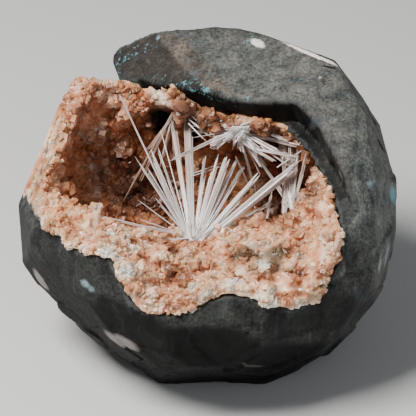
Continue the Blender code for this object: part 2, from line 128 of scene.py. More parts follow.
# White inclusions of the basalt, and dark chips where the brightness is under 0.01, as seen into the
# opening: u, v, half length, half width, turn, share of blue, brightness
MARKS = [
    (-51.2, -22.3, 3.4, 1.2, -66, 0.0, 0.34), (-37.4, -23.4, 1.3, 0.9, -20, 0.6, 0.34),
    (-35.6, -25.0, 0.9, 0.8, 0, 0.6, 0.24), (-26.5, -40.9, 5.2, 1.5, -22, 0.0, 0.30),
    (15.2, 50.0, 2.2, 1.1, -30, 0.1, 0.8), (31.9, 46.6, 9.6, 0.5, -19, 0.0, 0.85),
    (52.4, -17.7, 1.8, 0.8, 66, 0.3, 0.42), (54.6, -14.6, 3.4, 0.6, 70, 0.3, 0.42),
    (56.4, 3.8, 1.0, 2.0, 0, 1.0, 0.6), (49.2, 6.6, 1.4, 1.0, 30, 0.5, 0.4),
    (13.4, -48.5, 3.6, 0.4, -6, 0.0, 0.05), (34.1, 39.5, 0.5, 0.4, 0, 0.3, 0.3),
    (-15.1, 51.6, 0.7, 0.4, 60, 1.0, 0.35), (51.8, 20.2, 4.8, 0.45, -52, 0.0, 0.008),
    (32.3, 25.3, 2.6, 1.0, 40, 0.5, 0.06), (40.5, 9.5, 1.6, 0.7, -60, 0.3, 0.16),
    (50.5, 26.5, 1.6, 0.4, -45, 0.0, 0.008), (37.0, 42.6, 2.2, 0.3, -15, 0.0, 0.008),
]

# Where blue-green specks gather in the basalt, in the same terms: u, v, half length, half width, turn, amount
SPECK_FIELDS = [
    (-20.0, 48.0, 9.0, 2.0, 14, 0.85), (-3.5, 36.6, 14.0, 2.6, -24, 1.0), (12.4, 50.8, 2.4, 2.2, 0, 1.0),
    (-26.5, 43.0, 2.6, 6.0, 0, 0.9), (-13.0, 38.0, 8.0, 3.0, -10, 0.8), (52.0, 4.0, 6.0, 11.0, 10, 0.6),
    (53.5, -15.0, 4.0, 6.0, 0, 0.6), (24.0, 38.0, 26.0, 10.0, -20, 0.35), (9.0, 33.6, 8.0, 1.6, -8, 0.8),
    (44.0, 32.5, 2.5, 5.0, 40, 0.8), (-0.5, 50.2, 5.0, 1.2, 15, 0.8),
]

# Patches of the crust, as seen into the opening: u, v, half width, half height, amount
GREY_PATCHES = [
    (18.0, -15.0, 11.0, 5.0, 0.75), (31.0, -28.5, 4.5, 3.0, 0.8), (-54.5, -1.8, 4.5, 4.0, 1.0),
    (-8.0, -16.0, 7.0, 3.0, 0.4), (30.0, 22.0, 3.5, 4.0, 0.6), (-14.8, 33.5, 3.2, 4.0, 0.5),
    (-22.0, -27.0, 4.0, 3.0, 0.5), (24.0, 26.0, 4.0, 2.0, 0.7), (-2.0, -26.0, 5.0, 2.5, 0.4),
]
# The shaded patches are painted shade: the back corner and the pockets under the roof, the crust band under
# the lip and dark places deep in the hollow
SHADED_PATCHES = [
    (-19.0, 5.5, 14.0, 8.0, 0.85), (-29.0, 11.0, 10.0, 9.0, 0.55), (-14.6, 27.5, 5.0, 5.0, 1.0),
    (-4.6, 24.0, 3.5, 6.0, 1.0), (2.0, 26.0, 7.0, 2.4, 0.85), (11.0, 24.0, 6.0, 2.4, 0.7),
    (20.0, 21.5, 6.0, 3.0, 0.75), (20.0, 2.0, 7.0, 7.0, 0.7), (31.0, 5.0, 3.0, 4.0, 0.6),
    (-10.0, -2.0, 10.0, 4.0, 0.6), (-9.0, 29.5, 5.0, 2.4, 0.8), (-36.0, 14.0, 7.0, 10.0, 0.3),
    (-4.0, 30.5, 6.0, 2.2, 0.75), (8.0, 28.0, 7.0, 2.0, 0.6), (-6.0, 32.5, 5.0, 2.4, 0.8),
]
ORANGE_PATCHES = [
    (2.0, 12.0, 9.0, 8.0, 0.6), (12.0, 10.0, 6.0, 6.0, 0.6), (-6.0, 13.0, 4.0, 9.0, 0.4),
    (-51.0, 9.0, 4.5, 9.0, 0.6), (-46.0, 20.0, 4.0, 9.0, 0.45), (3.0, -27.5, 7.0, 2.0, 0.5),
    (-42.0, 0.0, 6.0, 5.0, 0.3), (9.5, -25.0, 5.0, 2.6, 0.7), (-28.0, -17.5, 4.0, 3.0, 0.5),
]

# Pale, glassy lumps of the crust, some of them small painted glints, and dark crevices, partly darker crust
# and partly painted shade: u, v, half width, half height, amount
PALE_LUMPS_AND_GLINTS = [
    (34.4, -0.3, 1.2, 3.0, 1.0), (40.5, -4.7, 1.6, 3.0, 0.8), (35.9, -22.7, 3.0, 2.4, 0.6),
    (-24.2, -18.5, 2.4, 2.2, 0.6), (-4.5, -23.9, 1.2, 1.2, 1.0), (-23.2, -27.5, 2.6, 2.4, 0.6),
    (26.4, -29.5, 4.0, 2.0, 0.7), (16.0, -17.1, 1.8, 1.8, 0.7), (-29.5, -7.4, 1.3, 0.9, 1.0),
    (-30.0, -13.0, 2.6, 3.0, 0.3), (-51.5, 8.0, 3.5, 9.0, 0.1), (-46.5, 21.0, 3.0, 8.0, 0.1),
    (1.1, 26.9, 1.6, 1.1, 0.9), (-9.1, 25.5, 0.8, 0.8, 1.0),
    (-54.9, 4.0, 1.6, 1.4, 0.9), (-32.4, 34.8, 1.2, 1.2, 0.8), (-30.7, 23.9, 0.6, 0.6, 1.0),
    (-33.5, 6.1, 0.6, 0.6, 1.0), (-48.5, 16.4, 1.8, 1.8, 0.7), (-47.5, 9.0, 1.2, 2.0, 0.5),
    (-41.0, 36.0, 2.4, 1.6, 0.4), (-14.8, 35.0, 2.4, 3.6, 0.7), (-47.0, 22.0, 1.2, 2.4, 0.6),
    (6.0, -22.0, 3.5, 2.4, 0.3), (-38.0, -10.0, 4.0, 2.0, 0.5), (21.0, -24.0, 3.4, 2.0, 0.4),
    (22.0, -8.0, 2.4, 2.4, 0.3), (40.0, -14.0, 1.6, 3.0, 0.5), (-16.0, -29.0, 3.6, 1.6, 0.5),
    (30.0, 21.0, 1.6, 2.4, 0.6), (32.5, 12.0, 2.0, 3.0, 0.5),
]
CREVICES_WITH_PAINTED_SHADE = [
    (32.7, -20.3, 1.0, 3.0, 1.0), (26.9, -25.1, 2.4, 0.9, 1.0), (18.6, -3.7, 1.4, 1.4, 1.0),
    (-10.0, -13.0, 2.6, 1.4, 0.6), (-31.0, -5.7, 2.2, 1.1, 0.9), (25.5, -19.3, 3.0, 2.0, 0.8),
    (7.0, -27.5, 1.6, 0.8, 0.7), (-8.1, -20.2, 4.5, 2.4, 0.5), (20.0, -14.0, 2.6, 3.0, 0.5),
    (-13.5, -17.0, 4.0, 1.4, 0.5), (37.0, -6.0, 1.4, 2.2, 0.4), (-40.0, -3.4, 4.0, 1.0, 0.6),
    (-18.0, -14.0, 1.4, 2.6, 0.4), (10.0, -12.5, 3.0, 1.6, 0.4), (13.5, -24.5, 2.4, 1.2, 0.5),
    (-10.5, -29.5, 2.4, 1.0, 0.6), (29.0, -11.5, 2.0, 1.0, 0.4), (-22.5, -9.8, 1.8, 0.9, 0.8),
    (38.5, -18.0, 0.8, 1.8, 0.8), (16.5, -27.5, 1.8, 0.8, 0.6),
]

# Dark pockets in the back wall: u, v, half width, half height
POCKETS = [(-14.6, 27.8, 4.6, 4.4), (-4.8, 26.0, 2.8, 5.2)]

# Needle sprays: root, spread of the needles' feet to the left and right, share of brown, how clear the
# needles' far ends are, number of fine strands between them, and needles as (tip u, v, w, width)
SPRAYS = {
    "needle_spray_centre": (
        (-4.8, -8.9, 10.4), (2.4, 5.4), 0.0, 0.2, 46,
        [
            (-22.3, 15.3, 14.0, 1.0), (-20.4, 13.4, 10.0, 0.9), (-18.4, 11.9, 7.0, 0.8),
            (-27.0, 34.8, -3.0, 1.0), (-17.7, 17.4, 3.0, 1.4), (-15.4, 18.0, 1.0, 0.9),
            (-11.0, 27.1, -8.0, 1.8), (-6.1, 29.0, -9.0, 2.4), (-0.6, 15.6, 2.0, 1.4), (3.2, 16.0, 6.0, 1.7),
            (5.9, 15.2, 9.0, 2.1), (8.4, 14.3, 6.0, 1.8), (10.8, 12.5, 2.0, 1.4), (15.6, 10.1, 6.0, 1.9),
            (28.0, 14.3, 8.0, 2.3), (27.0, 11.6, 6.0, 1.7), (19.0, 1.0, 1.0, 1.0), (-33.0, -2.6, 15.0, 0.9),
            (-18.6, -5.6, 17.0, 1.4), (-11.6, -9.8, 18.0, 1.1), (-16.2, 2.7, -5.0, 0.9),
        ],
    ),
    "needle_spray_roof": (
        (9.1, 23.2, 0.3), (2.0, 2.0), 0.0, 0.45, 34,
        [
            (-11.6, 14.0, 14.0, 1.5), (-9.2, 15.4, 12.0, 1.1), (-6.1, 27.6, -4.0, 1.0),
            (-5.5, 25.2, -4.0, 0.9), (-5.5, 22.9, -3.0, 1.0), (1.0, 18.0, 10.0, 2.1), (20.4, 7.6, 0.0, 1.2),
            (16.5, 12.0, 4.0, 1.4), (23.5, 15.4, 7.0, 1.9), (15.5, 1.6, -7.0, 1.0), (10.5, 16.4, 7.0, 1.7),
            (28.0, 18.5, 6.0, 1.4),
        ],
    ),
    "needle_spray_left": (
        (-10.9, 27.8, -8.9), (1.5, 1.5), 0.75, 0.6, 10,
        [
            (-26.4, 1.7, -16.0, 1.0), (-19.0, 16.8, -4.0, 1.1), (-14.8, 12.4, -6.0, 1.0),
            (-21.0, 8.0, -14.0, 0.9), (-8.4, 9.0, -12.0, 1.2),
        ],
    ),
    "needle_spray_right": (
        (25.7, -0.2, 7.7), (1.5, 1.5), 0.36, 0.8, 14,
        [
            (22.4, 20.4, -1.0, 2.5), (25.2, 20.8, -2.0, 2.1), (27.8, 21.0, 1.0, 1.3), (30.2, 17.0, 6.0, 1.2),
            (19.0, 10.8, -1.0, 1.3), (32.6, 8.0, 9.0, 1.2), (16.2, 14.0, -10.0, 1.0),
        ],
    ),
}

# Short bright strands where a spray starts: foot, direction, length, how far they spread, count
TUFTS = {
    "needle_spray_centre": [((-4.6, -9.8, 11.2), (0.0, 1.0, 0.15), 6.0, 0.42, 26)],
    "needle_spray_roof": [
        ((10.2, 23.6, 7.0), (-1.0, -0.5, 0.3), 6.5, 0.16, 36),
        ((7.0, 21.9, 9.5), (-1.0, -0.5, 0.3), 7.5, 0.12, 54),
        ((9.8, 24.0, 4.5), (0.8, 0.1, 0.4), 4.5, 0.3, 14),
        ((12.0, 20.5, 4.0), (0.7, -0.6, 0.2), 5.5, 0.3, 8),
    ],
    "needle_spray_right": [((26.0, 0.4, 8.4), (-0.1, 1.0, 0.0), 4.5, 0.35, 12)],
}

# Needles that cross between the sprays: start and tip as u, v, w, and width
CROSS_NEEDLES = {
    "needle_spray_roof": [
        ((9.0, 20.5, 4.0), (20.5, 13.5, 7.0), 1.3), ((14.5, 17.5, 6.0), (28.0, 15.0, 8.0), 1.2),
        ((-5.8, 28.7, -2.0), (2.0, 21.5, 2.5), 0.8), ((-5.8, 26.8, -2.0), (1.0, 21.0, 2.5), 0.7),
        ((-6.0, 25.6, -1.0), (-0.5, 19.8, 3.0), 0.6), ((-4.8, 9.4, 2.0), (4.6, 12.6, 1.0), 0.5),
        ((-4.6, 10.2, 1.0), (5.0, 13.6, 0.0), 0.4), ((8.5, 15.5, -2.0), (13.5, 5.2, -6.0), 1.0),
        ((18.6, 22.5, 4.0), (24.5, 20.0, 5.0), 1.6), ((21.0, 12.0, 6.0), (28.5, 17.0, 8.0), 0.8),
        ((10.0, 23.0, 4.0), (17.0, 24.5, 5.0), 0.9), ((16.0, 18.5, 5.0), (26.5, 11.0, 7.0), 0.8),
    ],
    "needle_spray_right": [
        ((23.2, -2.0, 6.5), (24.1, 15.5, 3.0), 2.2), ((25.2, -1.8, 7.5), (24.7, 22.0, 3.0), 0.8),
        ((26.4, -1.0, 8.0), (26.6, 5.2, 8.5), 0.7), ((17.7, -4.9, 6.5), (19.5, 5.2, 3.0), 1.2),
        ((7.9, -6.7, 9.0), (18.6, 1.8, 4.0), 0.7), ((8.4, -7.4, 9.0), (16.5, -1.2, 5.0), 0.6),
        ((9.5, -6.9, 9.0), (17.6, 0.0, 5.0), 0.5),
    ],
}

# The depth at which the needles' far ends take the clear colours in full, as painted shade on needles that
# reach deep into the hollow
PAINTED_SHADE_DEPTH = 8.0


def from_opening(u, v, w):
    """A place in the opening's frame, in millimetres, as a place in the model in metres."""
    return (CENTRE + RIGHT * u + UP * v + OUT * w) * MM


def into_opening(points):
    """Points of the model, as rows in metres, in the opening's frame in millimetres."""
    return (points / MM - np.array(CENTRE)) @ AXES.T


def out_of_opening(places):
    """Rows in the opening's frame in millimetres, as rows in the model in metres."""
    return (places @ AXES + np.array(CENTRE)) * MM


def longer_top(rows):
    """Rows of points, with the far edge of the sawn top moved on along its own plane."""
    places = into_opening(rows)
    edge = np.interp(places[:, 0], TOP_EDGE[:, 0], TOP_EDGE[:, 1])
    reach = np.interp(places[:, 0], TOP_EDGE[:, 0], TOP_EDGE[:, 2])
    reach *= smooth_step(places[:, 1] - edge, *TOP_EDGE_REACH)
    places[:, 1] += reach
    places[:, 2] -= reach * TOP_NORMAL.y / TOP_NORMAL.z
    return out_of_opening(places)


def sawn_flat(rows, rough=None):
    """Rows of points, with those near the saw cut on the left brought to it, or cut off just over it."""
    places = into_opening(rows)
    for normal, distance in LEFT_CUTS:
        proud = places @ np.array(normal) - distance
        if rough is None:
            proud *= smooth_step(proud, *SAW_DRAWN)
        else:
            proud = np.maximum(proud - rough, 0.0)
        places -= proud[:, None] * np.array(normal)
    return out_of_opening(places)


def smooth_step(values, low, high):
    share = np.clip((values - low) / (high - low), 0.0, 1.0)
    return share * share * (3.0 - 2.0 * share)


def setting_in(values, amount, low, high):
    """An amount that sets in between a low and a high value."""
    return amount * smooth_step(values, low, high)


def gauss_vector(rng):
    return Vector([rng.gauss(0, 1) for _ in range(3)])


def new_object(name, data):
    obj = bpy.data.objects.new(name, data)
    bpy.context.scene.collection.objects.link(obj)
    return obj


# Camera, light and floor
def add_camera():
    data = bpy.data.cameras.new("camera")
    data.lens = CAMERA_LENS
    data.shift_y = CAMERA_SHIFT_UP
    data.clip_start = CAMERA_CLIP_START
    camera = new_object("camera", data)
    camera.location = from_opening(0, 0, 0) + OUT * CAMERA_DISTANCE
    camera.rotation_euler = (math.pi / 2 - OPENING_TILT, 0, 0)
    bpy.context.scene.camera = camera
    return camera.location


def add_area_light(name, place, size, watts, colour):
    data = bpy.data.lights.new(name, "AREA")
    data.shape = "SQUARE"
    data.size = size
    data.energy = watts
    data.color = colour
    light = new_object(name, data)
    light.location = place
    light.rotation_euler = (Vector(LIGHT_AIM) - Vector(place)).to_track_quat("-Z", "Y").to_euler()


def add_stage():
    """A pale floor and soft studio light, the main light from above and the left."""
    for name, light in LIGHTS.items():
        add_area_light(name, *light)
    world = bpy.data.worlds.new("studio")
    world.use_nodes = True
    background = world.node_tree.nodes["Background"]
    background.inputs["Color"].default_value = STUDIO_COLOUR
    background.inputs["Strength"].default_value = STUDIO_STRENGTH
    bpy.context.scene.world = world
    mesh = bpy.data.meshes.new("floor")
    corners = [(FLOOR_HALF * x, FLOOR_HALF * y, 0) for x, y in ((-1, -1), (1, -1), (1, 1), (-1, 1))]
    mesh.from_pydata(corners, [], [(0, 1, 2, 3)])
    floor = new_object("floor", mesh)
    tree, shader = new_material("floor_paper", 0.9)
    grain = noise_node(tree, 900.0, 3.0)
    tone = ramp_node(tree, grain.outputs["Fac"], [(0.3, (0.6, 0.6, 0.6)), (0.7, (0.63, 0.63, 0.63))])
    tree.links.new(tone, shader.inputs["Base Color"])
    mesh.materials.append(bpy.data.materials["floor_paper"])
    floor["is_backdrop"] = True


# Short forms for material nodes
def new_material(name, roughness):
    material = bpy.data.materials.new(name)
    material.use_nodes = True
    shader = material.node_tree.nodes["Principled BSDF"]
    shader.inputs["Roughness"].default_value = roughness
    return material.node_tree, shader


def place_node(tree):
    """The texture coordinate of a place in the model, in metres."""
    for node in tree.nodes:
        if node.type == "TEX_COORD":
            return node.outputs["Object"]
    return tree.nodes.new("ShaderNodeTexCoord").outputs["Object"]


def noise_node(tree, scale, detail, distortion=0.0, roughness=0.5, vector=None):
    node = tree.nodes.new("ShaderNodeTexNoise")
    node.inputs["Scale"].default_value = scale
    node.inputs["Detail"].default_value = detail
    node.inputs["Roughness"].default_value = roughness
    node.inputs["Distortion"].default_value = distortion
    tree.links.new(vector or place_node(tree), node.inputs["Vector"])
    return node


def ramp_node(tree, factor, stops):
    node = tree.nodes.new("ShaderNodeValToRGB")
    ramp = node.color_ramp
    while len(ramp.elements) < len(stops):
        ramp.elements.new(0.5)
    for element, (position, colour) in zip(ramp.elements, stops):
        element.position = position
        element.color = (*colour, 1.0)
    tree.links.new(factor, node.inputs["Fac"])
    return node.outputs["Color"]


def range_node(tree, value, low, high, to_low=0.0, to_high=1.0):
    node = tree.nodes.new("ShaderNodeMapRange")
    node.inputs["From Min"].default_value = low
    node.inputs["From Max"].default_value = high
    node.inputs["To Min"].default_value = to_low
    node.inputs["To Max"].default_value = to_high
    tree.links.new(value, node.inputs["Value"])
    return node.outputs["Result"]


def math_node(tree, operation, first, second):
    node = tree.nodes.new("ShaderNodeMath")
    node.operation = operation
    for socket, value in zip(node.inputs, (first, second)):
        if isinstance(value, (int, float)):
            socket.default_value = value
        else:
            tree.links.new(value, socket)
    return node.outputs["Value"]


def times(tree, first, second):
    return math_node(tree, "MULTIPLY", first, second)


def plus(tree, first, second):
    return math_node(tree, "ADD", first, second)


def mix_node(tree, factor, first, second, blend="MIX"):
    node = tree.nodes.new("ShaderNodeMix")
    node.data_type = "RGBA"
    node.blend_type = blend
    if isinstance(factor, (int, float)):
        node.inputs["Factor"].default_value = factor
    else:
        tree.links.new(factor, node.inputs["Factor"])
    for socket, value in ((node.inputs[6], first), (node.inputs[7], second)):
        if isinstance(value, tuple):
            socket.default_value = (*value, 1.0)
        else:
            tree.links.new(value, socket)
    return node.outputs[2]


def cast(tree, colour, tint):
    """A colour multiplied by another."""
    return mix_node(tree, 1.0, colour, tint, "MULTIPLY")


def bump_node(tree, height, distance, strength=1.0, after=None):
    node = tree.nodes.new("ShaderNodeBump")
    node.inputs["Strength"].default_value = strength
    node.inputs["Distance"].default_value = distance
    tree.links.new(height, node.inputs["Height"])
    if after:
        tree.links.new(after, node.inputs["Normal"])
    return node.outputs["Normal"]


def attribute_node(tree, name):
    node = tree.nodes.new("ShaderNodeAttribute")
    node.attribute_name = name
    return node.outputs["Fac"]


def spot_mask(tree, centre, right, up, half_sizes, soft, ragged):
    """A value of one inside an ellipsoid and nought outside, with a soft, ragged edge."""
    out = right.cross(up).normalized()
    turn = Matrix((right, up, out)).transposed().to_euler()
    shift = noise_node(tree, 900.0, 4.0)
    wobble = tree.nodes.new("ShaderNodeVectorMath")
    wobble.operation = "MULTIPLY_ADD"
    wobble.inputs[1].default_value = (ragged, ragged, ragged)
    tree.links.new(shift.outputs["Color"], wobble.inputs[0])
    tree.links.new(place_node(tree), wobble.inputs[2])
    local = tree.nodes.new("ShaderNodeMapping")
    local.vector_type = "TEXTURE"
    local.inputs["Location"].default_value = centre + Vector((ragged, ragged, ragged)) * 0.5
    local.inputs["Rotation"].default_value = turn
    local.inputs["Scale"].default_value = half_sizes
    tree.links.new(wobble.outputs["Vector"], local.inputs["Vector"])
    length = tree.nodes.new("ShaderNodeVectorMath")
    length.operation = "LENGTH"
    tree.links.new(local.outputs["Vector"], length.inputs[0])
    return range_node(tree, length.outputs["Value"], 1.0 + soft, 1.0 - soft)


def seen_at(tree, eye, u, v):
    """Where the line of sight through a place on the opening's plane first meets the stone."""
    aim = (from_opening(u, v, 0) - eye).normalized()
    point, normal, _, _ = tree.ray_cast(eye, aim)
    return point, normal


# Meshes
def tree_of(obj):
    bpy.context.view_layer.update()
    return BVHTree.FromObject(obj, bpy.context.evaluated_depsgraph_get())


def remeshed(node, name, cell):
    """A fine, even skin over a node of the frame, as a new piece that stands for it."""
    obj = new_object(name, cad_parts[node].data.copy())
    modifier = obj.modifiers.new("even_cells", "REMESH")
    modifier.mode = "VOXEL"
    modifier.voxel_size = cell * MM
    bpy.context.view_layer.update()
    graph = bpy.context.evaluated_depsgraph_get()
    mesh = bpy.data.meshes.new_from_object(obj.evaluated_get(graph))
    obj.modifiers.clear()
    obj.data = mesh
    mesh.name = name
    mesh.materials.clear()
    return obj


def edge_pairs(mesh):
    edges = np.empty(len(mesh.edges) * 2, dtype=np.int64)
    mesh.edges.foreach_get("vertices", edges)
    return edges.reshape(-1, 2)


def averaged(values, edges, rounds, share=0.5):
    """Evens out values over a mesh: each vertex moves towards the mean of its neighbours."""
    values = np.array(values, dtype=float)
    counts = np.bincount(edges.ravel(), minlength=len(values)).astype(float)
    counts = np.maximum(counts, 1.0).reshape((-1,) + (1,) * (values.ndim - 1))
    for _ in range(rounds):
        total = np.zeros_like(values)
        np.add.at(total, edges[:, 0], values[edges[:, 1]])
        np.add.at(total, edges[:, 1], values[edges[:, 0]])
        values += share * (total / counts - values)
    return values


def vertex_rows(mesh, what="co"):
    rows = np.empty(len(mesh.vertices) * 3)
    if what == "co":
        mesh.vertices.foreach_get("co", rows)
    else:
        mesh.vertex_normals.foreach_get("vector", rows)
    return rows.reshape(-1, 3)


def move_vertices(mesh, rows):
    mesh.vertices.foreach_set("co", rows.ravel())
    mesh.update()


def set_attribute(mesh, name, values):
    attribute = mesh.attributes.new(name, "FLOAT", "POINT")
    attribute.data.foreach_set("value", np.asarray(values, dtype=np.float32))


def edge_sharpness(mesh, normals):
    """How far the normals turn at each vertex: nought on a flat facet, more along its edges."""
    edges = edge_pairs(mesh)
    turn = 1.0 - np.einsum("ij,ij->i", normals[edges[:, 0]], normals[edges[:, 1]])
    sharp = np.zeros(len(normals))
    np.maximum.at(sharp, edges[:, 0], turn)
    np.maximum.at(sharp, edges[:, 1], turn)
    return sharp


def noise_values(rows, cell, shift=0.0):
    """Smooth noise from -1 to 1 at each row, with features of a given size in millimetres."""
    scale = 1.0 / (cell * MM)
    offset = Vector((shift, shift * 0.7, -shift))
    return np.array([noise.noise(Vector(row) * scale + offset) for row in rows])


def relief(rows, height, cell, shift):
    """Smooth noise at each row, of a given height."""
    return height * noise_values(rows, cell, shift)


def new_piece(name, verts, faces, attributes):
    mesh = bpy.data.meshes.new(name)
    mesh.from_pydata([tuple(corner) for corner in verts], [], faces)
    for attribute, values in attributes.items():
        set_attribute(mesh, attribute, values)
    mesh.update()
    return new_object(name, mesh)


# Basalt

# How near to a named facet a place lies, and how well it faces its way, to count as on it
FACET_NEAR = 0.9
FACET_FACING = 0.93

# The step by the lip, painted dark as shade, lies between these distances from the sawn top, beyond this
# corner in u, v and w, and faces right and up by less than this
STEP_TOP = -0.7
STEP_BOTTOM = -ROOF_SLAB - 1.3
STEP_CORNER = (-20, -14, -6)
STEP_FACING = (0.45, 0.75)

# Tones of the basalt, from nought for black, and shares of brown. The step's tone is painted shade; the top
# is lighter, more so across its middle, and the flap darker, partly for their own ground and brown finish and
# partly as painted light and shade for the way they face
SIDE_TONE = 0.15
STEP_PAINTED_SHADE_TONE = 0.015
FLAP_TONE = 0.14
TOP_TONE = 0.39
TOP_MIDDLE_TONE = 0.11
FLAP_BROWN = 0.8
TOP_BROWN = 0.12

# Painted light and shade added to the tone by the way a place faces, and painted light towards the step's
# right end: how much, and the values between which it sets in
PAINTED_LIGHT_FACING_UP = (0.14, 0.1, 0.6)
PAINTED_LIGHT_FACING_RIGHT = (0.13, 0.3, 0.6)
PAINTED_LIGHT_FAR_RIGHT = (0.85, 0.45, 0.8)
PAINTED_SHADE_FACING_DOWN = (-0.144, 0.35, 0.75)
PAINTED_LIGHT_STEP_END = (0.15, 26.0, 42.0)

# Faces left by the chisel, which set in below the sawn top and the flap
CHISEL_SEED = 4
CHISEL_FACES = 330
CHISEL_RADII = (42.0, 56.0)
CHISEL_SLOPE = 0.09
CHISEL_TONES = (0.55, 1.5)
CHISEL_HEIGHTS = (-0.55, 0.4)
CHISEL_STARTS = (1.0, 7.0)

# Noise in the basalt's skin: size of its features, and a shift so that no two are alike
WEAR_NOISE = (4.5, 0.0)
CHIP_NOISE = (1.9, 7.0)
PIT_NOISE = (2.2, 11.0)

# Depths in the basalt's skin, where a swell also has a feature size and a shift
COARSE_SWELL = (0.10, 3.2, 3.0)
FINE_SWELL = (0.05, 1.3, 5.0)
EDGE_DEPTH = 0.02
WEAR_DEPTH = 0.32
CHIP_DEPTH = 0.3
PIT_DEPTH = 1.4

# How much fuller the skin is made, against what the cells round off, and the height that stays flat
BASALT_FULLER = 0.3
BASE_HEIGHT = 0.4

# Colours of the basalt: stops along a value, casts that are multiplied in, and plain ones
MOTTLE_COLOURS = [
    (0.30, (0.050, 0.054, 0.054)), (0.5, (0.105, 0.110, 0.106)), (0.72, (0.170, 0.170, 0.158)),
]
GRAIN_COLOURS = [(0.33, (0.36, 0.37, 0.36)), (0.5, (0.95, 0.96, 0.94)), (0.67, (1.66, 1.66, 1.62))]
TONE_COLOURS = [(0.0, (0.0, 0.0, 0.0)), (1.0, (1.6, 1.6, 1.6))]
SPECK_COLOURS = [(0.3, (0.03, 0.12, 0.14)), (0.7, (0.17, 0.36, 0.38))]
BROWN_CAST = (1.25, 0.98, 0.86)
RUST_CAST = (1.14, 1.05, 0.94)
LATH_COLOUR = (0.36, 0.36, 0.34)
BLUE_GREY = (0.13, 0.16, 0.175)
CRACK_COLOUR = (0.004, 0.004, 0.005)
WORN_COLOUR = (0.16, 0.16, 0.155)

# A mark on the basalt is as deep as this and is drawn out at a slant, but no more than these allow
MARK_DEPTH = 2.5
MARK_LEAST_FACING = 0.35
MARK_MOST_STRETCH = 2.5


def facet_tones_and_painted_light(rows, normals):
    """How light, how brown and how chiselled each place of the basalt is, by the facet it lies on; the
    lightness holds painted light and shade for the way each place faces.
    """
    places = into_opening(rows)
    directions = normals @ AXES.T
    across, up = places[:, 0], places[:, 1]
    facing_right, facing_up = directions[:, 0], directions[:, 1]
    top, flap = np.array(TOP_NORMAL), np.array(FLAP_NORMAL)
    from_top = places @ top - TOP_DISTANCE
    from_flap = places @ flap - FLAP_DISTANCE
    on_top = (np.abs(from_top) < FACET_NEAR) & (directions @ top > FACET_FACING)
    on_flap = (np.abs(from_flap) < FACET_NEAR) & (directions @ flap > FACET_FACING)
    in_shaded_step = (from_top < STEP_TOP) & (from_top > STEP_BOTTOM) & ~on_flap
    in_shaded_step &= np.all(places > STEP_CORNER, axis=1)
    in_shaded_step &= np.all(directions[:, :2] < STEP_FACING, axis=1)
    # Painted light and shade: lighter where a place faces up and right, darker where it faces down
    tone = np.full(len(rows), SIDE_TONE)
    tone += setting_in(facing_up, *PAINTED_LIGHT_FACING_UP)
    tone += setting_in(facing_right, *PAINTED_LIGHT_FAR_RIGHT) * smooth_step(up, -32.0, -8.0)
    tone += setting_in(facing_right, *PAINTED_LIGHT_FACING_RIGHT)
    tone += setting_in(-facing_up, *PAINTED_SHADE_FACING_DOWN)
    # Painted shade on the step by the lip, lighter towards its right end
    tone[in_shaded_step] = (STEP_PAINTED_SHADE_TONE + setting_in(across, *PAINTED_LIGHT_STEP_END))[in_shaded_step]
    tone[on_flap] = FLAP_TONE
    middle = smooth_step(across, -8.0, 18.0) - smooth_step(across, 22.0, 50.0)
    tone[on_top] = (TOP_TONE + TOP_MIDDLE_TONE * middle)[on_top]
    brown = np.where(on_flap, FLAP_BROWN, np.where(on_top, TOP_BROWN, 0.0))
    chiselled = np.where(on_top | on_flap, 0.0, 1.0)
    chiselled *= smooth_step(-from_top, *CHISEL_STARTS) * smooth_step(-from_flap, *CHISEL_STARTS)
    return tone, brown, chiselled


def chiselled_cells(rows, rng):
    """Small, slightly tilted faces left by the chisel: their height and tone at each row."""
    finder = KDTree(CHISEL_FACES)
    leans, shades = [], []
    for index in range(CHISEL_FACES):
        along = gauss_vector(rng).normalized()
        radius = rng.uniform(*CHISEL_RADII)
        finder.insert(along * radius * MM + CENTRE * MM, index)
        leans.append(Vector([rng.uniform(-1, 1) for _ in range(3)]) * CHISEL_SLOPE)
        shades.append(rng.uniform(*CHISEL_TONES))
    finder.balance()
    heights, tones = np.empty(len(rows)), np.empty(len(rows))
    for place, row in enumerate(rows):
        seed, index, _ = finder.find(row)
        heights[place] = leans[index].dot(Vector(row) - seed) / MM
        tones[place] = shades[index]
    return np.clip(heights, *CHISEL_HEIGHTS), tones


def make_basalt():
    obj = remeshed("basalt_matrix", "basalt", BASALT_CELL)
    mesh = obj.data
    edges = edge_pairs(mesh)
    rows = averaged(vertex_rows(mesh), edges, 1)
    move_vertices(mesh, rows)
    normals = vertex_rows(mesh, "normal")
    tone, brown, chiselled = facet_tones_and_painted_light(rows, averaged(normals, edges, 2))
    cell_heights, cell_tones = chiselled_cells(rows, random.Random(CHISEL_SEED))
    tone *= 1.0 + (cell_tones - 1.0) * chiselled
    sharp = smooth_step(edge_sharpness(mesh, normals), 0.03, 0.2)
    wear = np.clip(noise_values(rows, *WEAR_NOISE) + 0.15, 0.0, 1.0)
    chips = np.clip(noise_values(rows, *CHIP_NOISE) - 0.1, 0.0, 1.0)
    pits = np.clip(noise_values(rows, *PIT_NOISE) - 0.52, 0.0, 1.0) * PIT_DEPTH
    depth = relief(rows, *COARSE_SWELL) + relief(rows, *FINE_SWELL)
    depth -= sharp * (EDGE_DEPTH + WEAR_DEPTH * wear + CHIP_DEPTH * chips) + pits
    depth += chiselled * cell_heights + BASALT_FULLER
    depth[rows[:, 2] < BASE_HEIGHT * MM] = 0.0
    rows = longer_top(rows + normals * (depth * MM)[:, None])
    rows[:, 2] = np.maximum(rows[:, 2], 0.0)
    move_vertices(mesh, rows)
    # The tone holds painted light and shade, besides the facets' own lightness
    set_attribute(mesh, "tone", averaged(tone, edges, 1))
    set_attribute(mesh, "brown", averaged(brown, edges, 1))
    set_attribute(mesh, "worn", sharp)
    mesh.polygons.foreach_set("use_smooth", np.ones(len(mesh.polygons), dtype=bool))
    return obj


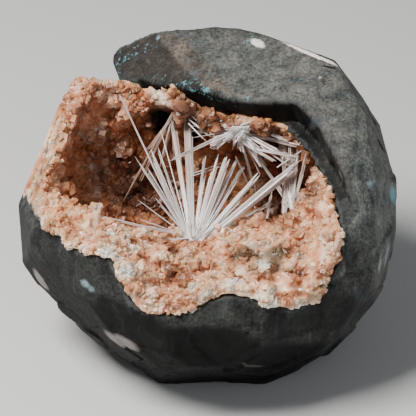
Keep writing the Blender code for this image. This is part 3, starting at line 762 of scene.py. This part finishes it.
def basalt_material(stone, eye):
    """Ground basalt: fine dark grain with paler laths, worn edges, marks and blue-green specks."""
    tree, shader = new_material("ground_basalt", 0.8)
    links = tree.links
    mottle = noise_node(tree, 170.0, 6.0, 0.6).outputs["Fac"]
    grain = noise_node(tree, 1100.0, 4.0, 0.0, 0.7).outputs["Fac"]
    fine = noise_node(tree, 3600.0, 2.0, 0.0, 0.6).outputs["Fac"]
    colour = cast(tree, ramp_node(tree, mottle, MOTTLE_COLOURS), ramp_node(tree, grain, GRAIN_COLOURS))
    laths = range_node(tree, fine, 0.62, 0.74)
    colour = mix_node(tree, times(tree, laths, 0.35), colour, LATH_COLOUR)
    # The tone, with its painted light and shade, is multiplied into the colour
    tone = attribute_node(tree, "tone")
    colour = cast(tree, colour, ramp_node(tree, tone, TONE_COLOURS))
    colour = mix_node(tree, attribute_node(tree, "brown"), colour, cast(tree, colour, BROWN_CAST))
    rust = range_node(tree, noise_node(tree, 380.0, 5.0, 0.8, 0.65).outputs["Fac"], 0.52, 0.66)
    rust = times(tree, rust, range_node(tree, tone, 0.2, 0.4, 0.0, 0.36))
    colour = mix_node(tree, rust, colour, cast(tree, colour, RUST_CAST))
    stretched = tree.nodes.new("ShaderNodeMapping")
    stretched.inputs["Scale"].default_value = (1.0, 1.0, 0.28)
    links.new(place_node(tree), stretched.inputs["Vector"])
    streaks = noise_node(tree, 330.0, 5.0, 0.3, 0.6, stretched.outputs["Vector"]).outputs["Fac"]
    blue_grey = range_node(tree, streaks, 0.55, 0.74)
    blue_grey = times(tree, blue_grey, range_node(tree, tone, 0.0, 0.3, 0.05, 0.4))
    colour = mix_node(tree, blue_grey, colour, BLUE_GREY)
    cracks = range_node(tree, streaks, 0.38, 0.30)
    colour = mix_node(tree, times(tree, cracks, 0.6), colour, CRACK_COLOUR)
    worn = range_node(tree, attribute_node(tree, "worn"), 0.35, 1.0, 0.0, 0.22)
    colour = mix_node(tree, worn, colour, WORN_COLOUR)

    stone_tree = tree_of(stone)
    specks = noise_node(tree, 640.0, 5.0, 0.8, 0.65).outputs["Fac"]
    field = None
    for *shape, amount in SPECK_FIELDS:
        mask = times(tree, mark_mask(tree, stone_tree, eye, shape, 0.5, 3.0 * MM), amount)
        field = mask if field is None else math_node(tree, "MAXIMUM", field, mask)
    thickness = plus(tree, specks, times(tree, field, 0.13))
    speck_shape = times(tree, range_node(tree, thickness, 0.675, 0.715), field)
    speck_colour = ramp_node(tree, grain, SPECK_COLOURS)
    colour = mix_node(tree, times(tree, speck_shape, 0.85), colour, speck_colour)
    for *shape, blue, bright in MARKS:
        mask = mark_mask(tree, stone_tree, eye, shape, 0.22 + 0.4 * abs(blue), 0.9 * MM)
        mineral = (bright * (1.0 - 0.6 * blue), bright * (0.91 - 0.05 * blue), bright * (0.87 + 0.15 * blue))
        mottled = times(tree, mask, range_node(tree, grain, 0.25, 0.5, 0.55, 1.0))
        colour = mix_node(tree, mottled, colour, mineral)
    links.new(colour, shader.inputs["Base Color"])
    shader.inputs["Specular IOR Level"].default_value = 0.14
    links.new(range_node(tree, grain, 0.3, 0.7, 0.55, 0.82), shader.inputs["Roughness"])
    swells = bump_node(tree, mottle, 0.25 * MM, 0.5)
    links.new(bump_node(tree, grain, 0.16 * MM, 0.7, swells), shader.inputs["Normal"])
    return bpy.data.materials["ground_basalt"]


def mark_mask(tree, stone_tree, eye, mark, soft, ragged):
    """A mask round a place on the stone that is given as it is seen into the opening."""
    u, v, half_long, half_wide, turn = mark
    point, normal = seen_at(stone_tree, eye, u, v)
    if point is None:
        point, normal = stone_tree.find_nearest(from_opening(u, v, 0))[:2]
    turn = math.radians(turn)
    along = RIGHT * math.cos(turn) + UP * math.sin(turn)
    facing = max(MARK_LEAST_FACING, abs(normal.dot(OUT)))
    right = along - OUT * (along.dot(normal) / facing)
    stretch = min(MARK_MOST_STRETCH, right.length)
    right = (right - normal * right.dot(normal)).normalized()
    up = normal.cross(right).normalized()
    half_sizes = (half_long * stretch * MM, half_wide * MM / (facing * stretch), MARK_DEPTH * MM)
    return spot_mask(tree, point, right, up, half_sizes, soft, ragged)


# Crust
PATCH_ZONES = {
    "grey": GREY_PATCHES, "shade": SHADED_PATCHES, "orange": ORANGE_PATCHES, "pale": PALE_LUMPS_AND_GLINTS,
    "dark_and_crevice_shade": CREVICES_WITH_PAINTED_SHADE,
}

# Noise that stirs the patches' edges, and the shares of their size between which they fade
STIR_NOISES = [(2.6, 21.0), (2.6, 33.0)]
STIR_SHARE = 0.5
PATCH_FADE = (-1.3, -0.5)

# Heights of the crust skin's relief in millimetres, each with a feature size and a shift
COARSE_LUMPS = (0.42, 2.6, 0.0)
FINE_LUMPS = (0.2, 1.2, 4.0)
BROAD_SWELLS = (1.5, 7.0, 2.0)
HOLE_NOISE = (4.0, 6.0)
HOLE_DEPTH = 2.6
TINT_NOISE = (0.4, 1.6, 9.0)

# Least, most and usual size of the crystals, and the largest that may carry a painted glint, in spacings
FRONT_SIZES = (0.6, 2.7, 0.9)
WALL_SIZES = (0.8, 3.4, 1.4)
PAINTED_GLINT_SIZE = 1.3

# Share of places that have a crystal, how far it rises in dense patches, and the size of these
FRONT_SHARE = 0.62
WALL_SHARE = 0.74
DENSE_SHARE = 1.2
DENSE_PATCH = 6.0

# Room that a crystal needs: from the basalt, and in the open air over it
BASALT_CLEAR = 0.8
AIR_CLEAR = 2.2

# Colours of the crystals, from dark brown, which the painted shade in crevices reaches, to glassy white; the
# wall's are darker, partly their own orange-brown and partly painted shade of the hollow
FRONT_COLOURS = [
    (0.05, (0.16, 0.06, 0.03)), (0.26, (0.48, 0.20, 0.10)), (0.48, (0.71, 0.37, 0.21)),
    (0.70, (0.87, 0.59, 0.42)), (0.95, (0.95, 0.83, 0.73)),
]
WALL_COLOURS = [
    (0.10, (0.19, 0.052, 0.02)), (0.42, (0.41, 0.15, 0.065)), (0.76, (0.64, 0.31, 0.18)),
    (0.97, (0.84, 0.56, 0.42)),
]
ORANGE_COLOURS = [(0.2, (0.46, 0.16, 0.05)), (0.8, (0.95, 0.54, 0.29))]
GREY_COLOURS = [(0.2, (0.15, 0.14, 0.09)), (0.6, (0.50, 0.46, 0.38)), (0.9, (0.8, 0.78, 0.72))]
# The cast that the painted shade multiplies in
SHADE_CAST = (0.12, 0.10, 0.09)
# The colour of the painted glints
PAINTED_GLINT_COLOUR = (0.95, 0.91, 0.86)


def crust_zones(rows, basalt_tree):
    """How deep in the hollow each place of the crust is, how near its rims, and how far in each patch."""
    places = into_opening(rows)
    across, up = places[:, 0], places[:, 1]
    # The wall's darker colours, partly painted shade of the hollow, come in along +Y and are held back at the
    # left and right ends
    deep = smooth_step(rows[:, 1] / MM, WALL_STARTS, WALL_FULL)
    deep *= 1.0 - setting_in(-across - 0.42 * up, 0.85, 41.0, 47.0)
    deep *= 1.0 - setting_in(across, 0.5, 24.0, 34.0)
    reach = np.array([basalt_tree.find_nearest(Vector(row))[3] for row in rows]) / MM
    below = 1.0 - smooth_step(up, -4.0, 6.0)
    pale_rim = (1.0 - smooth_step(reach, 1.2, 4.2)) * below * (1.0 - deep)
    orange_rim = (1.0 - smooth_step(reach, 0.8, 2.4)) * (1.0 - below)
    zones = {"deep": deep, "pale_rim": pale_rim, "orange_rim": orange_rim}
    stir_u, stir_v = (STIR_SHARE * noise_values(rows, *stir) for stir in STIR_NOISES)
    for name, patches in PATCH_ZONES.items():
        zones[name] = np.zeros(len(rows))
        for u, v, half_u, half_v, amount in patches:
            distance = np.hypot((across - u) / half_u + stir_u, (up - v) / half_v + stir_v)
            zones[name] = np.maximum(zones[name], setting_in(-distance, amount, *PATCH_FADE))
    return zones


def make_crust_skin(basalt_tree):
    obj = remeshed("zeolite_crust", "crust", CRUST_CELL)
    mesh = obj.data
    rows = vertex_rows(mesh)
    normals = vertex_rows(mesh, "normal")
    holes = HOLE_DEPTH * np.clip(noise_values(rows, *HOLE_NOISE) - 0.18, 0.0, 1.0)
    lumps = relief(rows, *COARSE_LUMPS) + relief(rows, *FINE_LUMPS) - 0.1
    lumps += relief(rows, *BROAD_SWELLS) - holes
    rows = sawn_flat(rows + normals * (lumps * MM)[:, None])
    move_vertices(mesh, rows)
    for zone, values in crust_zones(rows, basalt_tree).items():
        set_attribute(mesh, zone, values)
    # The tint rises with the lumps: painted light on their tops and painted shade in the hollows and holes
    set_attribute(mesh, "tint", np.clip(0.35 + relief(rows, *TINT_NOISE) + 0.45 * lumps, 0.0, 1.0))
    return obj


def crystal_form(place, normal, size, rng):
    """The twelve corners of a blocky crystal with a bevelled end, half sunk in what it grows from."""
    lean = Vector([rng.uniform(-0.8, 0.8) for _ in range(3)])
    turn = (normal + lean).to_track_quat("Z", "Y").to_matrix()
    spin = Matrix.Rotation(rng.uniform(0, math.tau), 3, "Z")
    width = size * rng.uniform(0.45, 0.7)
    length = size * rng.uniform(0.65, 1.0)
    height = size * rng.uniform(0.6, 1.0)
    bevel = rng.uniform(0.35, 0.75)
    slant = rng.uniform(-0.25, 0.25)
    corners = []
    for level, share in ((-0.7, 0.9), (0.18, 1.0), (0.48, bevel)):
        for side, end in ((-1, -1), (1, -1), (1, 1), (-1, 1)):
            tilt = slant * side * (level > 0)
            lift = (level + tilt * 0.3) * height
            local = Vector((side * width * share / 2, end * length * share / 2, lift))
            corners.append(place + turn @ (spin @ local))
    return corners


CRYSTAL_FACES = [(3, 2, 1, 0), (8, 9, 10, 11)]
for lower in (0, 4):
    for step in range(4):
        after = (step + 1) % 4
        CRYSTAL_FACES.append((lower + step, lower + after, lower + 4 + after, lower + 4 + step))


def in_pocket(point):
    """Whether a place is in a dark pocket of the back wall, where no crystals grew."""
    across, up = into_opening(np.array([tuple(point)]))[0, :2]
    return any(
        math.hypot((across - u) / half_u, (up - v) / half_v) < 1.0
        for u, v, half_u, half_v in POCKETS
    )


def crystal_places(crust_tree, basalt_tree):
    """Evenly strewn places on the crust that open air can reach, with the way out of the crust."""
    rng = random.Random(CRYSTAL_SEED)
    low, high = (np.array(corner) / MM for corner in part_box("zeolite_crust"))
    counts = np.ceil((high - low) / CRYSTAL_SPACING).astype(int)
    reach = CRYSTAL_SPACING * MM / 2
    found = []
    for corner in np.ndindex(*counts):
        cell = Vector(corner) + Vector([rng.random() for _ in range(3)])
        spot = (Vector(low) + cell * CRYSTAL_SPACING) * MM
        point, normal, _, _ = crust_tree.find_nearest(spot, reach)
        if point is None:
            continue
        if basalt_tree.find_nearest(point, BASALT_CLEAR * MM)[0] is not None:
            continue
        if basalt_tree.ray_cast(point + normal * 0.05 * MM, normal, AIR_CLEAR * MM)[0] is not None:
            continue
        growth = noise.noise(point / (DENSE_PATCH * MM))
        share = FRONT_SHARE if point.y < WALL_STARTS * MM else WALL_SHARE
        if in_pocket(point) or rng.random() > share + DENSE_SHARE * growth:
            continue
        found.append((point, normal))
    return found


def make_crystals(crust, basalt):
    """The crust's crystals in two pieces: those of the broken front and those of the hollow's wall."""
    basalt_tree = tree_of(basalt)
    rng = random.Random(CRYSTAL_SEED + 1)
    groups = {"crust_front_crystals": ([], [], []), "crust_wall_crystals": ([], [], [])}
    for point, normal in crystal_places(tree_of(crust), basalt_tree):
        front = point.y < (WALL_STARTS + WALL_FULL) / 2 * MM
        verts, faces, tints = groups["crust_front_crystals" if front else "crust_wall_crystals"]
        size = CRYSTAL_SPACING * rng.triangular(*(FRONT_SIZES if front else WALL_SIZES)) * MM
        start = len(verts)
        verts += crystal_form(point, normal, size, rng)
        faces += [tuple(start + corner for corner in face) for face in CRYSTAL_FACES]
        # The palest tints of the smaller crystals become painted glints
        tint = rng.random()
        tints += [tint if size < PAINTED_GLINT_SIZE * CRYSTAL_SPACING * MM else min(tint, 0.9)] * (len(verts) - start)
    pieces = []
    for name, (verts, faces, tints) in groups.items():
        verts = sawn_flat(np.array([tuple(corner) for corner in verts]), SAW_ROUGHNESS)
        zones = crust_zones(verts, basalt_tree)
        pieces.append(new_piece(name, verts, faces, {**zones, "tint": tints}))
    return pieces


def glassy(tree, shader, glow, grain, roughness, bump):
    """Light within a crystal material, given as weight, radius and scale, and fine grain on its surface."""
    weight, radius, scale = glow
    height, strength = bump
    shader.inputs["Subsurface Weight"].default_value = weight
    shader.inputs["Subsurface Radius"].default_value = radius
    shader.inputs["Subsurface Scale"].default_value = scale * MM
    fine = noise_node(tree, *grain).outputs["Fac"]
    tree.links.new(range_node(tree, fine, 0.3, 0.7, *roughness), shader.inputs["Roughness"])
    tree.links.new(bump_node(tree, fine, height * MM, strength), shader.inputs["Normal"])


def zeolite_material():
    """Glassy peach crystals: pale on the front, orange-brown in the hollow and darker there, partly as
    painted shade, some of them white or grey, with painted glints and painted shade.
    """
    tree, shader = new_material("peach_zeolite_crystals", 0.3)
    # The tint holds painted light on the skin's lumps and painted shade in its hollows; its palest values
    # make painted glints
    tint = attribute_node(tree, "tint")
    cloud = noise_node(tree, 150.0, 5.0, 0.4).outputs["Fac"]
    drift = noise_node(tree, 62.0, 4.0, 0.6).outputs["Fac"]
    deep = attribute_node(tree, "deep")
    # Crevices darken the colour, partly as painted shade; pale lumps, some of them painted glints, lighten it
    dark_and_crevice_shade = times(tree, attribute_node(tree, "dark_and_crevice_shade"), 0.5)
    pale = times(tree, attribute_node(tree, "pale"), 0.4)
    rim = times(tree, attribute_node(tree, "pale_rim"), range_node(tree, cloud, 0.4, 0.6, 0.02, 0.2))
    mixed = times(tree, tint, range_node(tree, deep, 0.0, 1.0, 0.16, 0.36))
    mixed = plus(tree, mixed, range_node(tree, cloud, 0.34, 0.66, 0.0, 0.48))
    mixed = plus(tree, mixed, range_node(tree, drift, 0.38, 0.62, 0.0, 0.32))
    mixed = math_node(tree, "SUBTRACT", mixed, dark_and_crevice_shade)
    mixed = plus(tree, plus(tree, mixed, pale), rim)
    # The wall's ramp is darker, partly as painted shade of the hollow
    colour = mix_node(tree, deep, ramp_node(tree, mixed, FRONT_COLOURS), ramp_node(tree, mixed, WALL_COLOURS))
    orange = math_node(tree, "MAXIMUM", attribute_node(tree, "orange"), attribute_node(tree, "orange_rim"))
    colour = mix_node(tree, orange, colour, ramp_node(tree, mixed, ORANGE_COLOURS))
    # Painted shade in the shaded patches
    colour = mix_node(tree, attribute_node(tree, "shade"), colour, cast(tree, colour, SHADE_CAST))
    # Painted glints on the palest crystals, fewer deep in the hollow
    painted_glint = times(tree, range_node(tree, tint, 0.975, 0.98), range_node(tree, deep, 0.0, 1.0, 0.9, 0.1))
    colour = mix_node(tree, painted_glint, colour, PAINTED_GLINT_COLOUR)
    patch = noise_node(tree, 260.0, 4.0, 0.6).outputs["Fac"]
    grey = times(tree, attribute_node(tree, "grey"), range_node(tree, patch, 0.34, 0.54))
    colour = mix_node(tree, grey, colour, ramp_node(tree, mixed, GREY_COLOURS))
    tree.links.new(colour, shader.inputs["Base Color"])
    glassy(tree, shader, (0.75, (1.0, 0.65, 0.5), 1.3), (2200.0, 3.0), (0.18, 0.5), (0.12, 0.5))
    return bpy.data.materials["peach_zeolite_crystals"]


# Needles
STRAND_SIDES = 6
STRAND_FLATNESS = 0.62

# A needle's strands: their number by its width, and ranges of lengths, widths and pointed ends
STRANDS_PER_MM = 6.5
FEWEST_STRANDS = 4
STRAND_LENGTHS = (0.66, 1.0)
STRAND_WIDTHS = (0.10, 0.2)
THINNEST_STRAND = 0.11
POINT_STARTS = (0.93, 0.985)

# Colours of the needles from foot to tip, where they are chalky and where clear; the clear colours also paint
# shade on far ends deep in the hollow
CHALKY_COLOURS = [
    (0.05, (1.0, 1.0, 1.0)), (0.5, (0.98, 0.96, 0.95)), (0.8, (0.78, 0.70, 0.66)), (1.0, (0.86, 0.80, 0.77)),
]
CLEAR_AND_SHADED_COLOURS = [(0.1, (0.62, 0.55, 0.52)), (0.5, (0.36, 0.27, 0.235)), (1.0, (0.46, 0.37, 0.33))]
NEEDLE_BROWN = (0.34, 0.20, 0.13)


def strand(mesh_lists, root, tip, radius, turn, blunt, clear):
    """One slim six-sided crystal, its far end drawn to a short point."""
    verts, faces, along, clearness_and_shade = mesh_lists
    run = tip - root
    axis = run.to_track_quat("Z", "Y").to_matrix()
    start = len(verts)
    for share, size in ((0.0, 0.85), (0.35, 1.0), (0.65, 1.0), (blunt, 0.95), (1.0, 0.2)):
        for i in range(STRAND_SIDES):
            angle = math.tau * i / STRAND_SIDES + turn
            across = Vector((math.cos(angle), math.sin(angle) * STRAND_FLATNESS, 0.0)) * radius * size
            verts.append(root + run * share + axis @ across)
            along.append(share)
            clearness_and_shade.append(min(1.0, clear[0] + clear[1] * share ** 2))
    rings = [start + STRAND_SIDES * level for level in range(5)]
    faces.append(tuple(range(rings[0] + STRAND_SIDES - 1, rings[0] - 1, -1)))
    faces.append(tuple(range(rings[-1], rings[-1] + STRAND_SIDES)))
    for lower, upper in zip(rings, rings[1:]):
        for i in range(STRAND_SIDES):
            after = (i + 1) % STRAND_SIDES
            faces.append((lower + i, lower + after, upper + after, upper + i))


def bundle(mesh_lists, start, end, width, rng, tip_clearness_and_shade=0.2, clear_most=1.0):
    """A needle as it grew, between two places in the opening: thin strands of unequal length."""
    root, tip = from_opening(*start), from_opening(*end)
    run = (tip - root).normalized()
    side = run.orthogonal().normalized()
    other = run.cross(side)
    count = max(FEWEST_STRANDS, round(width * STRANDS_PER_MM))
    for i in range(count):
        angle = rng.uniform(0, math.tau)
        distance = width * MM * 0.40 * math.sqrt(rng.random())
        offset = (side * math.cos(angle) + other * math.sin(angle)) * distance
        length = 1.0 if i == 0 else rng.uniform(*STRAND_LENGTHS)
        radius = max(THINNEST_STRAND, width * rng.uniform(*STRAND_WIDTHS)) * MM
        spread = rng.uniform(0.8, 1.3)
        point = root + (tip - root) * length + offset * spread
        blunt = rng.uniform(*POINT_STARTS)
        clear = (clear_most * rng.random() ** 2.2, tip_clearness_and_shade)
        strand(mesh_lists, root + offset * 0.55, point, radius, rng.uniform(0, 1), blunt, clear)


def make_spray(name):
    root, (left_spread, right_spread), brown, clear_end, fine_strands, needles = SPRAYS[name]
    rng = random.Random(NEEDLE_SEED + len(name))
    mesh_lists = ([], [], [], [])
    foot = Vector(root)
    feet = []
    for u, v, w, width in needles:
        lean = (u - foot.x) / 30.0
        shift = max(-left_spread, min(right_spread, lean * (right_spread if lean > 0 else left_spread)))
        start = foot + Vector((shift, rng.uniform(-0.6, 0.4), rng.uniform(-1.0, 1.0)))
        tip = Vector((u, v, w))
        start -= (tip - start).normalized() * 2.0
        feet.append((start, tip))
        # Needles that reach deep into the hollow get darker, clear far ends as painted shade
        painted_shade_share = min(1.0, max(0.0, -w / PAINTED_SHADE_DEPTH))
        tip_clearness_and_shade = clear_end + (1.0 - clear_end) * painted_shade_share
        bundle(mesh_lists, start, tip, width, rng, tip_clearness_and_shade)
    for _ in range(fine_strands):
        (start_a, tip_a), (start_b, tip_b) = rng.choice(feet), rng.choice(feet)
        share = rng.random() ** 2 * 0.6
        start = start_a.lerp(start_b, share)
        tip = start + (tip_a - start).lerp(tip_b - start, share) * rng.uniform(0.35, 0.85)
        bundle(mesh_lists, start, tip, rng.uniform(0.35, 0.65), rng)
    for foot_place, aim, length, spread, count in TUFTS.get(name, []):
        for _ in range(count):
            shake = gauss_vector(rng) * spread
            start = Vector(foot_place) + shake * 2.0
            tip = start + (Vector(aim).normalized() + shake).normalized() * length * rng.uniform(0.5, 1.0)
            bundle(mesh_lists, start, tip, rng.uniform(0.5, 1.0), rng, 0.0, 0.0)
    for start, tip, width in CROSS_NEEDLES.get(name, []):
        bundle(mesh_lists, start, tip, width, rng, 0.8)
    verts, faces, along, clearness_and_shade = mesh_lists
    return new_piece(name + "_crystals", verts, faces, {
        "along": along, "brown": [brown] * len(verts), "clear": clearness_and_shade,
    })


def needle_material():
    """Silky white needles, chalky at the foot and clearer, greyer and a little pink towards the tip, with
    painted shade on far ends deep in the hollow.
    """
    tree, shader = new_material("white_needle_crystals", 0.3)
    cloud = noise_node(tree, 330.0, 4.0, 0.4).outputs["Fac"]
    reach = plus(tree, attribute_node(tree, "along"), range_node(tree, cloud, 0.3, 0.7, -0.18, 0.18))
    chalky = ramp_node(tree, reach, CHALKY_COLOURS)
    # The clear colours stand for clear needle ends and for painted shade on ends deep in the hollow
    colour = mix_node(tree, attribute_node(tree, "clear"), chalky, ramp_node(tree, reach, CLEAR_AND_SHADED_COLOURS))
    colour = mix_node(tree, attribute_node(tree, "brown"), colour, NEEDLE_BROWN)
    tree.links.new(colour, shader.inputs["Base Color"])
    glassy(tree, shader, (0.25, (1.0, 0.8, 0.7), 0.8), (2600.0, 2.0), (0.12, 0.32), (0.06, 0.4))
    return bpy.data.materials["white_needle_crystals"]


def dress(piece, material, slot, *nodes):
    """Gives a piece its finish and its body, and hides the nodes that it stands for."""
    piece.data.materials.append(material)
    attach(piece, "root")
    if nodes:
        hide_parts(*nodes)


eye = add_camera()
add_stage()
basalt = make_basalt()
crust = make_crust_skin(tree_of(basalt))
crystals = make_crystals(crust, basalt)
dress(basalt, basalt_material(basalt, eye), "basalt", "basalt_matrix")
zeolite = zeolite_material()
dress(crust, zeolite, "peach_zeolite", "zeolite_crust")
for piece in crystals:
    dress(piece, zeolite, "peach_zeolite")
needles = needle_material()
for name in SPRAYS:
    dress(make_spray(name), needles, "white_needles", name)

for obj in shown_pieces():
    triangles = sum(len(face.vertices) - 2 for face in obj.data.polygons)
    print(obj.name, triangles, "triangles")
